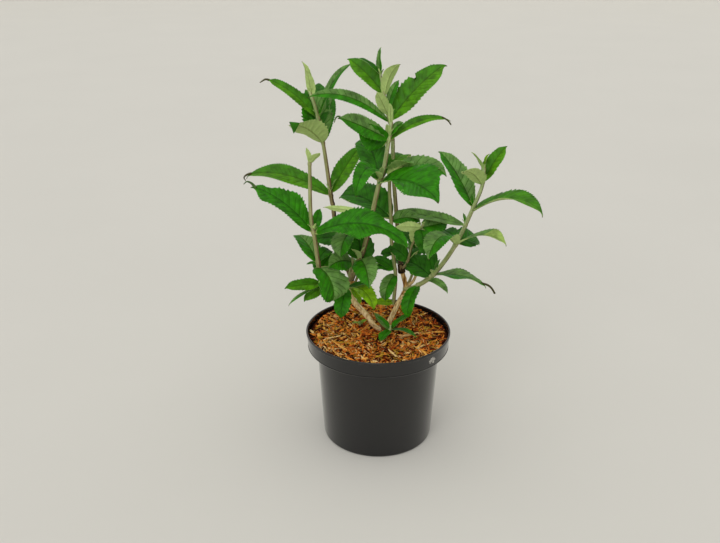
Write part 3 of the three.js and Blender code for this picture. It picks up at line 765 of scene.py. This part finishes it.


# ---------------------------------------------------------------- the leafy shoots
# Each shoot is a felted green twig with pairs of lance-shaped leaves. A leaf is folded along its
# sunken midrib, quilted between slanting side veins, toothed at their ends, dark to bright green
# above and pale with felt below. Its greens above hold painted shade and light: darker sunken
# veins, deep tints on inner leaves, bright ones on lit leaves and a greyer sheen on some halves.
# Small leaves sit in the axils and at the twig's tip.

SHOOTS = {  # radii, stem tones and points of each twig, and then its leaves in rows of
    # height on the twig, way round from +X, lift, droop, length, width, roll, tint
    "far_left_shoot": (
        (2.9, 2), (2.5, 4.5),
        [(-64.3, -13.2, 217), (-70, -16, 221), (-73.6, -20, 234), (-79.2, -28, 287),
         (-83, -30, 313), (-83, -33, 386)],
        (217, -152, 1, 57, 39, 15, -76, "bright"), (220.3, -147, -1, 39, 56, 7, -4, "mid"),
        (224.6, -153, 6, 5, 52, 20, -28, "bright"), (230, 97, 40, 60, 45, 20, 6, "deep"),
        (239.7, 63, 37, 30, 37, 13, 30, "fresh"), (248.8, -55, -5, 130, 59, 49, -8, "mid"),
        (253, 125, 44, 58, 62, 30, 5, "mid"), (256.4, 60, 39, 104, 39, 17, 19, "deep"),
        (296.8, -188, 51, 39, 96, 36, -24, "fresh"), (295.9, -18, 27, 79, 132, 43, 34, "fresh"),
        (297, 73, 46, 16, 35, 13, 30, "fresh"), (383.4, -125, 80, 10, 22, 8, -2, "mid"),
        (383.9, -27, 48, 5, 21, 12, -24, "lime"), (255.1, -168, 8, 30, 15, 6, -13, "deep"),
    ),
    "left_shoot": (
        (2.7, 1.9), (2, 5),
        [(-59.1, 33.1, 312.4), (-60.5, 34, 320), (-70.2, 36, 393), (-77.6, 36, 431),
         (-84.5, 35, 455)],
        (324.1, 169, 30, 55, 121, 32, -24, "bright"), (327, 43, 51, 15, 76, 24, 37, "bright"),
        (392, -119, 40, 33, 78, 40, 19, "mid"), (392.5, 77, 50, 21, 75, 18, 38, "mid"),
        (412, 93, 50, 30, 74, 25, 5, "deep"), (423.2, -187, 49, 36, 82, 17, -38, "bright"),
        (423, 23, 72, 49, 83, 18, 9, "mid"), (447.6, 190, 84, 21, 46, 20, 19, "bright"),
        (450.9, -110, 76, 12, 33, 12, 0, "pale"), (397.8, 133, 71, 24, 65, 43, -7, "mid"),
    ),
    "leaning_shoot": (
        (3, 2.3), (2, 5),
        [(-27.9, -3, 243.4), (-23, -4, 254), (-16, -6, 279), (-1, -10, 352), (4.3, -8, 369),
         (10.6, -2, 407), (13, 1, 425)],
        (248, -120, 70, 40, 29, 13, 0, "mid"), (251.6, -80, 16, 71, 71, 32, 22, "mid"),
        (250.7, 127, 101, 64, 36, 37, -28, "deep"), (263, 70, 19, 64, 35, 17, 0, "deep"),
        (280.7, 60, 44, 50, 50, 23, 0, "mid"), (312.9, 173, 9, 5, 62, 9, 105, "grey"),
        (355.2, 116, 69, 92, 78, 38, -23, "deep"), (357.6, -112, 48, 130, 100, 24, -25, "fresh"),
        (354.8, -50, 20, 54, 106, 63, 15, "fresh"), (404.3, -155, 33, 28, 47, 44, -88, "fresh"),
        (405.6, -146, 29, 8, 80, 27, -59, "mid"), (403.8, 12, 39, 64, 85, 14, 31, "bright"),
        (422.8, -100, 75, 15, 30, 13, 0, "pale"), (409.5, 4, 58, 36, 24, 13, 31, "mid"),
    ),
    "tall_shoot": (
        (2.3, 1.2), (3, 5),
        [(15.9, 15.9, 400.4), (14, 15, 415), (10, 14, 431), (4, 12, 459), (0, 10, 480)],
        (421.8, -177, 41, 62, 110, 15, -60, "mid"), (424, 15, 52, 24, 97, 36, 35, "bright"),
        (430.5, -124, 53, 5, 42, 15, 36, "pale"), (437.6, 50, 69, 36, 41, 11, 26, "mid"),
        (453.8, -54, 76, 56, 53, 18, -8, "pale"), (457.2, 155, 47, 22, 62, 23, -44, "bright"),
        (475.8, 23, 99, 19, 36, 14, 1, "mid"), (479.4, 170, 50, 38, 33, 10, -13, "deep"),
    ),
    "middle_shoot": (
        (2.3, 2), (4, 4),
        [(20, 9, 183), (22, 7, 224), (16, 5, 271), (15, 4, 301), (12.3, 4, 348), (13.4, 4, 362)],
        (186.1, -164, 13, 23, 27, 14, -29, "lime"), (226.4, -119, -5, 107, 45, 20, -20, "mid"),
        (233.1, -174, 45, 42, 36, 13, -55, "deep"), (300, 1, 21, 62, 39, 24, 36, "mid"),
        (302.6, 148, 37, 70, 85, 51, -17, "deep"), (356.1, -8, 38, 92, 78, 25, 54, "mid"),
        (357.4, -42, 52, 49, 45, 34, -12, "mid"), (256, -179, 10, 36, 16, 14, -35, "deep"),
        (362, 57, 57, 130, 53, 26, 4, "bright"), (235.5, -174, 19, 14, 26, 19, -37, "mid"),
    ),
    "right_shoot": (
        (3, 2), (4, 5),
        [(50.3, -1, 214.2), (58, -3, 220), (70, -6, 232), (94, -10, 271), (114, -12, 321),
         (124, -12, 351), (125, -12, 373)],
        (214.5, -117, -8, 108, 54, 22, 13, "fresh"), (223, -48, 19, 78, 41, 10, 29, "grey"),
        (227.9, 158, 41, 40, 40, 42, -20, "deep"), (231.8, -11, 7, 46, 72, 40, -7, "mid"),
        (234.3, 93, 47, 43, 43, 10, -19, "deep"), (275.8, 42, 13, 62, 48, 32, 34, "deep"),
        (273, -33, 42, 82, 78, 21, 0, "grey"), (274, -124, 47, 123, 86, 33, -2, "mid"),
        (280.8, 128, 19, 39, 32, 26, -3, "deep"), (299.9, 160, 10, 16, 93, 23, -17, "grey"),
        (318.3, -23, 38, 94, 100, 42, 1, "bright"), (322.8, 141, 59, 24, 84, 33, -13, "mid"),
        (351.9, -126, 43, 35, 59, 25, 21, "mid"), (355.4, 13, 65, 20, 52, 21, 35, "bright"),
        (368.3, 182, 66, 25, 30, 10, 18, "mid"), (370.8, 2, 88, 34, 21, 8, 5, "lime"),
        (231.5, -95, 60, 60, 20, 9, 0, "grey"),
    ),
    "inner_left_shoot": (
        (1.8, 1.2), (4, 5), [(-38, 5, 218), (-37, 7, 228), (-34, 4, 245), (-33, 5, 285)],
        (244.6, -132, 27, 54, 46, 29, -53, "mid"), (262, 140, 40, 50, 40, 19, 0, "deep"),
        (285, -112, 13, 106, 52, 33, 6, "mid"), (280.4, -173, -1, 5, 52, 30, -25, "deep"),
    ),
    "back_left_shoot": (
        (1.8, 1.2), (3, 5), [(-35, 3, 208), (-28, 14, 218), (-24, 22, 238), (-26, 27, 258)],
        (222, 26, 20, 40, 41, 18, 8, "deep"), (224.3, 120, 28, 60, 45, 19, 0, "mid"),
        (238, 95, 40, 60, 52, 23, 0, "mid"), (240, -60, 40, 60, 26, 13, 0, "deep"),
        (256, 130, 50, 50, 45, 19, 0, "mid"), (257, 60, 40, 50, 34, 16, 0, "mid"),
    ),
    "front_left_shoot": (
        (1.6, 1.2), (4, 5), [(-35, 1, 209), (-37, -8, 214), (-43, -19, 219)],
        (217.7, -104, -26, 60, 43, 23, -5, "fresh"), (214.2, -52, 24, 106, 60, 26, -3, "lime"),
        (214, -29, -35, 46, 26, 13, 5, "lime"), (217.9, -8, 23, 27, 36, 10, 12, "deep"),
    ),
    "centre_shoot": (
        (1.8, 1.2), (2, 4),
        [(30, 7, 234), (36, 2, 244), (42, 0, 270), (50, -8, 292), (54, -14, 301)],
        (248, -179, 54, 52, 33, 26, -38, "deep"), (250, 0, 50, 60, 40, 21, 0, "deep"),
        (272.3, -50, 80, 30, 35, 15, -8, "lime"), (294, -82, -10, 90, 40, 23, 0, "deep"),
        (297.6, -140, 15, 5, 46, 13, 88, "deep"), (296, 23, 5, 7, 38, 28, 38, "mid"),
    ),
    "back_right_shoot": (
        (1.8, 1.2), (3, 5), [(35, 6, 208), (42, 16, 216), (48, 24, 236), (50, 28, 256)],
        (222, 30, 20, 60, 45, 21, 0, "mid"), (224, 136, 25, 40, 42, 19, -5, "deep"),
        (238, 84, 40, 60, 55, 23, 0, "mid"), (252.5, 156, 54, 44, 42, 19, -8, "deep"),
        (254, 30, 45, 50, 48, 21, 0, "mid"),
    ),
    "front_sprout": (
        (1.6, 1.1), (4, 5), [(11, -3, 149), (15, -7, 152), (16, -8, 158)],
        (154.5, 160, 50, 30, 25, 12, 0, "fresh"), (155, 15, 45, 30, 32, 14, 0, "fresh"),
        (154, -30, 20, 60, 41, 10, 0, "deep"), (153.5, -125, 0, 40, 26, 14, 0, "fresh"),
        (153.2, 143, 36, 5, 32, 9, -40, "grey"),
    ),
    "mix_sprout": (
        (1.1, 0.9), (5, 5), [(-24, 19, 145.8), (-24, 19, 150)],
        # Lime on these leaves is partly their young green and partly painted light, for leaves in
        # the crown's shade.
        (148.5, -150, 40, 40, 12, 7, 0, "lime"), (148.8, 20, 40, 40, 12, 7, 0, "lime"),
        (149.2, -80, 60, 30, 9, 6, 0, "lime"),
    ),
}
AXIL = {"parent": 62, "shortest": 13, "longest": 22, "aside": 35}  # small leaves by long ones
AXIL_PAIR = [  # share aside, lift, droop, shares of length and width, tint
    (1, 75, 20, 1, 0.36, "mid"), (-0.8, 67, 25, 0.6, 0.2, "lime"),
]
TIP_LEAVES = {  # smaller on sprouts
    "count": 4, "aside": 60, "lift": (62, 82), "length": (5, 10), "droop": 10, "slimness": 0.3,
    "sprout": 0.6,
}

# Each leaf is dealt one tint. Deep and bright are partly a leaf's own green and partly painted
# shade and light: deep goes to inner leaves in shade, bright to lit ones. Grey is partly painted
# sheen.
TINTS = {
    "deep": (46, 108, 16), "mid": (62, 120, 16), "bright": (76, 134, 10), "fresh": (46, 120, 4),
    "grey": (96, 136, 66), "lime": (118, 166, 14), "pale": (150, 176, 88),
}
# Painted sheen and light: the half of a blade to +Y is a duller, greyer green, the half to -Y a
# brighter one.
PAINTED_SHEEN_HALVES = {"mid": ("grey", "fresh"), "bright": ("mid", "bright")}  # of halves to +Y and to -Y
FELT, FELT_RIB, TIP = (190, 214, 134), (150, 170, 96), (80, 78, 42)
# Painted shade: the sunken midrib above and the grooves of the side veins are darker shares of the
# leaf's tint.
VEIN_SHADE_TONES = {"vein": 0.78, "groove": 0.84}  # shares of a tint on parts of a leaf
DARKEST, PALEST = 0.8, 1.18  # shares of a tint in its clouds
leaf_names = [*TINTS, *(f"{tint}_{part}" for part in VEIN_SHADE_TONES for tint in TINTS)]
leaf_names += ["felt", "felt_vein", "felt_rib", "dry_tip"]
leaf_slot = {name: number for number, name in enumerate(leaf_names)}
leaf_tones = [
    clouded(tint, DARKEST * share, PALEST * share)
    for share in (1, *VEIN_SHADE_TONES.values()) for tint in TINTS.values()
]
leaf_tones += [
    clouded(FELT, 0.94, 1.04), clouded(FELT, 0.9, 0.95), clouded(FELT_RIB, 0.95, 1),
    clouded(TIP, 0.8, 1),
]
leaf_finishes = [
    finish(
        f"leaf_{name}", tones, 9, (0.9, 0.25), (0.42, 0.56) if "felt" not in name else (0.8, 0.9),
        cells=True, Specular_IOR_Level=0.15,
    )
    for name, tones in zip(leaf_names, leaf_tones)
]

WIDEST = 0.44  # share of the length where a blade is widest
STALK = 0.9  # half width of the blade's foot
STALK_END = 0.04  # the foot is pale up to this share of the length
LAG = 1 / 48  # the droop starts this share of the length out
FOLD = radians(14)  # each half rises from the midrib by this
VEIN_PITCH = 8.5  # length along the midrib from one pair of side veins to the next
VEIN_SLANT = 0.8  # how far a side vein runs forward for each step outwards
VEIN_ROWS = np.array([0, 0.1, 0.22, 0.34, 0.5, 0.6, 0.72, 0.87])  # rows from vein to vein
QUILT = np.array([-1, -0.5, 0.1, 0.5, 0.7, 0.6, 0.3, -0.4])  # height of the blade at those rows
TEETH = np.array([1, 0.1, -0.9, -0.4, 1, 0.1, -0.9, -0.3])  # reach of the margin at those rows
FOOT_ROWS, END_ROWS = [0, 0.015, 0.03], [0.94, 0.955, 0.97, 0.985, 0.997]  # before, after veins
VEINED = 0.05, 0.88  # share of the length where the veins start, and share that they take up
ACROSS = np.array([1, 0.965, 0.8, 0.62, 0.43, 0.24, 0.06, 0])  # from the margin to the midrib
ACROSS = np.concatenate([ACROSS, -ACROSS[-2::-1]])
SPINE_STEPS = 240
THICK, RIDGE = 0.34, 0.16  # of the blade, and of its side veins below
RIB = {"foot": 1.35, "taper": 1.1, "full": 26}  # height, and leaf's width from which it is full
QUILT_DEPTH, GROOVE_DEPTH = 0.013, 0.018  # shares of the width
FADE, TOOTHLESS = 0.2, 0.97  # run of teeth and quilt to full height, and the share they end at
MARGIN = {"teeth": 0.075, "uneven": 0.035, "wave": 0.1}  # shares of the half width
CURL = {"by": radians(55), "from": 0.88, "shares": (0.3, 1.1)}  # the thin end bends down
ANGLE_SPREAD = 3, 3  # degrees of a leaf's twist and of its fold
DRY_END = {"longer": 45, "from": 0.965}  # ends of leaves over a length, brown from this share on


def half_width(share, width):
    """Half a blade's width: it rises ever slower to its widest and falls evenly to a thin tip."""
    rise, fall = share / WIDEST, np.clip(1 - share, 0, 1) / (1 - WIDEST)
    drawn_out = np.clip((1 - share) / 0.07, 0.12, 1)
    tail = 1 - 0.5 * np.clip((share - 0.86) / 0.09, 0, 1)
    return np.maximum(STALK * drawn_out, width / 2 * rise**0.75 * fall**0.8 * tail)


def blade(foot, row, random, bites=(), turned_end=1):
    """One leaf as a closed thin skin, with its rows of points laid along the side veins.

    The midrib leaves the foot at its lift and bends down by its droop times the share of the
    length to the power 1.5. Out from it, the blade rises by the fold, is quilted between the
    veins and waves at the margin, where a tooth stands at the end of each vein. Beyond the share
    where its end is turned over, the pale side shows.
    """
    _, way, lift, droop, length, width, roll, tint = row
    veins = max(5, round(length / VEIN_PITCH))
    count = np.arange(veins).repeat(len(VEIN_ROWS))
    share = (count + np.tile(VEIN_ROWS, veins)) / veins
    shifted = np.sin(7 * share + random.uniform(0, 6)) * np.sin(pi * share)
    veined = VEINED[0] + VEINED[1] * (share + 0.04 * shifted)
    share = np.concatenate([FOOT_ROWS, veined, END_ROWS])

    def on_rows(values, beyond=0):
        return np.pad(values, (len(FOOT_ROWS), len(END_ROWS)), constant_values=beyond)[:, None]

    ends = np.clip(share / FADE, 0, 1) * np.clip((TOOTHLESS - share) / FADE, 0, 1)
    each_tooth = random.uniform(0.3, 1.3, 2 * veins).repeat(len(VEIN_ROWS) // 2)
    teeth = on_rows(np.tile(TEETH, veins)) * (ends[:, None] * on_rows(each_tooth, 1))
    vein_and_quilt = on_rows(np.tile(QUILT, veins))
    quilt = vein_and_quilt * ends[:, None]
    out = np.abs(ACROSS)
    at = share[:, None] + VEIN_SLANT * out * half_width(share, width)[:, None] / length
    at = np.minimum(at + 0.08 * teeth * out**8 / veins, 1)
    half = half_width(at, width)
    wave = random.uniform(0, 2 * pi, 4)
    uneven = np.where(ACROSS > 0, np.sin(8 * at + wave[2]), np.sin(7 * at + wave[3]))
    ragged = MARGIN["teeth"] * teeth * out**8
    across = ACROSS * half * (1 + ragged + MARGIN["uneven"] * uneven)
    for place, side, depth, spread in bites:
        bite = np.exp(-(((at - place) / spread) ** 2)) * (ACROSS * side >= 0) * out**2
        across = across * (1 - depth * bite)

    twist, fold = random.normal(0, ANGLE_SPREAD)
    tail = random.uniform(*CURL["shares"])
    depth = QUILT_DEPTH * width * quilt * np.sin(pi * out**0.8) ** 0.7
    ripple = np.where(ACROSS > 0, np.sin(9 * at + wave[0]), np.sin(11 * at + wave[1]))
    rise = np.abs(across) * np.sin(FOLD + radians(fold)) * (1.2 - 0.2 * out)
    rise = rise + depth + MARGIN["wave"] * half * ripple * out**3 - 0.05 * half * out**5
    groove = np.where(out == 0, 1.0, 0) * np.minimum(GROOVE_DEPTH * width, 0.5)
    groove = groove * np.clip(share / 0.1, 0, 1)[:, None]
    rib = (RIB["foot"] - RIB["taper"] * at) * np.clip(width / RIB["full"], 0.4, 1)
    rib = rib * np.interp(out, [0, 0.06, 0.24], [1, 0.45, 0])
    ridges = RIDGE * (vein_and_quilt == -1) * ends[:, None] * (out < 0.9)
    low = rise - (THICK - 0.2 * out**6) - rib - ridges
    high = rise - groove

    steps = np.linspace(0, 1, SPINE_STEPS + 1)
    bend = radians(lift) - radians(droop) * np.clip(steps - LAG, 0, 1) ** 1.5
    bend = bend - CURL["by"] * tail * np.clip((steps - CURL["from"]) / 0.12, 0, 1) ** 2
    forward, upward = (
        length / SPINE_STEPS * np.concatenate([[0], np.cumsum(part)])
        for part in (np.cos(bend[:-1]), np.sin(bend[:-1]))
    )
    tilt = np.interp(at, steps, bend)
    heading = radians(way)
    ahead = np.array([np.cos(heading), np.sin(heading), 0])
    beside = np.array([-np.sin(heading), np.cos(heading), 0])
    zenith = np.array([0, 0, 1])
    over = -np.sin(tilt)[..., None] * ahead + np.cos(tilt)[..., None] * zenith
    turn = radians(1) * (roll + twist * (at - 0.4))[..., None]
    side = np.cos(turn) * beside + np.sin(turn) * over
    up = np.cos(turn) * over - np.sin(turn) * beside
    spine = foot + np.interp(at, steps, forward)[..., None] * ahead
    spine = spine + np.interp(at, steps, upward)[..., None] * zenith
    spine = spine + (across * np.cos(FOLD))[..., None] * side
    upper, lower = spine + high[..., None] * up, spine + low[..., None] * up
    rings = np.concatenate([upper, lower[:, ::-1]], axis=1)

    columns = len(ACROSS)
    strip = np.arange(2 * columns)
    on_top = strip < columns - 1
    middle = np.abs(np.where(on_top, strip, 2 * columns - 2 - strip) - columns // 2 + 0.5) < 1
    inner = (strip > 1) & (strip < columns - 3)
    inner = inner | (strip > columns + 1) & (strip < 2 * columns - 4)
    vein_row = vein_and_quilt[:-1] == -1
    # Painted sheen on the +Y half of the upper face and painted light on the -Y half.
    sheen_halves = PAINTED_SHEEN_HALVES.get(tint, (tint, tint))[:: 1 if np.cos(heading) > 0 else -1]
    greens_with_sheen = np.where(strip < columns // 2, leaf_slot[sheen_halves[0]], leaf_slot[sheen_halves[1]])
    plain = np.where(on_top, greens_with_sheen, leaf_slot["felt"])
    # Painted shade: a darker tint in the grooves of the side veins and on the sunken midrib above.
    lined = np.where(on_top, leaf_slot[f"{tint}_groove"], leaf_slot["felt_vein"])
    slots = np.where(vein_row & inner, lined, plain)
    slots = np.where((share[1:, None] > turned_end) & on_top, leaf_slot["pale"], slots)
    slots = np.where(middle & on_top, leaf_slot[f"{tint}_vein"], slots)
    slots = np.where(middle & ~on_top, leaf_slot["felt_rib"], slots)
    slots[share[1:] < STALK_END] = leaf_slot["felt_rib"]
    if length > DRY_END["longer"]:
        slots[share[:-1] > DRY_END["from"]] = leaf_slot["dry_tip"]
    return skin(rings, slots)


def seeded(seed):
    """The repeatable run of numbers from 0 to 1 that also places the solids' axil leaves.

    Each is the last one times a multiplier, less the whole multiples of a prime.
    """
    multiplier, prime = 16807, 2147483647
    while True:
        seed = seed * multiplier % prime
        yield seed / prime


def foot_at(path, height):
    """The point of a rising path's curve at a height."""
    points = curve(path, 200)
    return np.array([np.interp(height, points[:, 2], axis) for axis in points.T])


BITES = {  # share of the length, side or 0 for both, depth or minus a bulge's height, and spread
    ("tall_shoot", 424): [(0.6, 1, 0.6, 0.022)],
    ("far_left_shoot", 295.9): [
        (0.2, -1, 0.3, 0.15), (0.53, -1, -0.3, 0.07), (0.74, -1, 0.5, 0.1),
        (0.2, 1, 0.25, 0.25), (0.75, 1, 0.45, 0.15),
    ],
    ("far_left_shoot", 296.8): [
        (0.8, -1, 0.5, 0.08), (0.45, -1, -0.25, 0.12), (0.8, 1, -0.4, 0.08),
    ],
    ("leaning_shoot", 354.8): [
        (0.86, 1, 0.35, 0.07), (0.8, -1, -0.45, 0.1), (0.3, -1, 0.65, 0.22),
    ],
    ("right_shoot", 231.8): [(0.97, 0, 0.6, 0.05)],
    ("right_shoot", 273): [(0.72, 1, -0.9, 0.16), (0.75, -1, -0.3, 0.14)],
    ("leaning_shoot", 422.8): [(0.5, 0, 0.55, 0.6)],
    ("left_shoot", 423.2): [(0.93, 0, 0.6, 0.05)],
    ("leaning_shoot", 403.8): [(0.93, 0, 0.6, 0.06)],
    ("leaning_shoot", 404.3): [(0.45, -1, 0.85, 0.5)],
}
TURNED_ENDS = {("right_shoot", 273): 0.55}  # share of the length where the pale side comes up
draw = seeded(7)
random = np.random.default_rng(3)
for name, (girth, tones, path, *leaves) in SHOOTS.items():
    rows = [*leaves]
    for height, way, _, _, length, *_ in leaves:
        if length > AXIL["parent"]:
            aside = -AXIL["aside"] if next(draw) < 0.5 else AXIL["aside"]
            young = AXIL["shortest"] + (AXIL["longest"] - AXIL["shortest"]) * next(draw)
            for turn, lift, droop, long, wide, tint in AXIL_PAIR:
                sizes = (long * young, wide * young)
                rows.append((height + 1, way + turn * aside, lift, droop, *sizes, 0, tint))
    tip = path[-1][2]
    for number in range(TIP_LEAVES["count"]):
        way = 360 / TIP_LEAVES["count"] * number + random.uniform(0, TIP_LEAVES["aside"])
        young = random.uniform(*TIP_LEAVES["length"])
        young *= TIP_LEAVES["sprout"] if name.endswith("sprout") else 1
        lift, width = random.uniform(*TIP_LEAVES["lift"]), TIP_LEAVES["slimness"] * young
        shape = (lift, TIP_LEAVES["droop"], young, width, 0, "grey" if number % 2 else "deep")
        rows.append((tip - 1 - number % 2, way, *shape))
    skins = [
        blade(
            foot_at(path, row[0]), row, random, BITES.get((name, row[0]), ()),
            TURNED_ENDS.get((name, row[0]), 1),
        )
        for row in rows
    ]
    foliage = piece(f"{name}_leaves", skins, leaf_finishes)
    points = curve(path)
    nodes = np.interp(sorted({row[0] for row in leaves}), points[:, 2], covered(points))
    twig = tube(path, girth, 20, 0.9, jointed(nodes, 0.22), tip=0.9)
    wood = piece(f"{name}_twig", [skin(twig, toned(twig, tones, random))], stem_finishes)
    for part in (foliage, wood):
        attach(part, "root")
        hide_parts(name)


# ---------------------------------------------------------------- the dry and folded ends
# Some long leaves run out into a thin rolled end that hangs in a hook, most of them dead and
# brown. One upper leaf has its end folded over into a dark three-cornered flap.

DRY_TAILS = [  # finish, radii and points
    ("dry_tip", (1.8, 0.5),
     [(-164.1, 55, 347.4), (-170.2, 55, 345.6), (-174, 55, 341.9), (-172.1, 55, 337.8)]),
    ("grey_vein", (2.1, 0.4),
     [(-149.5, -19, 350.4), (-154.8, -19, 356.4), (-160, -19, 358.1), (-163.7, -19, 354.9)]),
    ("dry_tip", (1.5, 0.6), [(-134.5, 44, 468), (-139.3, 44, 468.8), (-142.6, 44, 467.1),
                             (-146, 44, 465)]),
    ("dry_tip", (1.2, 0.8), [(74.5, 12.5, 429), (79.5, 12.5, 426.6), (82.7, 12.5, 424.1),
                             (85.6, 12.5, 420.1)]),
    ("grey_vein", (1.1, 0.5), [(-46.1, -41, 440.7), (-49.6, -41, 441.1), (-51.9, -41, 438.6),
                               (-53.1, -41, 434.3)]),
    ("dry_tip", (1.4, 1.3), [(129, -17.8, 225), (138, -18, 222), (142.9, -18, 217.8),
                             (147.2, -18, 210.9)]),
]
FLAP = {"girth": (6.3, 0.4), "flatness": 0.25}
FLAP_PATH = [(-99.8, -27, 431.3), (-100.2, -27, 425), (-100.9, -27, 418.5)]


def flattened(along, turn):
    """Relief that makes a tube's round section an ellipse, thin from front to back."""
    flat = FLAP["flatness"]
    return flat / np.hypot(flat * np.cos(turn), np.sin(turn)) - 1


ends = [
    skin(tube(path, girth, 10, 0.8, tip=0.8), leaf_slot[tone]) for tone, girth, path in DRY_TAILS
]
ends.append(skin(tube(FLAP_PATH, FLAP["girth"], 24, 0.8, flattened), leaf_slot["deep"]))
tail_piece = piece("dry_and_folded_ends", ends, leaf_finishes)
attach(tail_piece, "root")
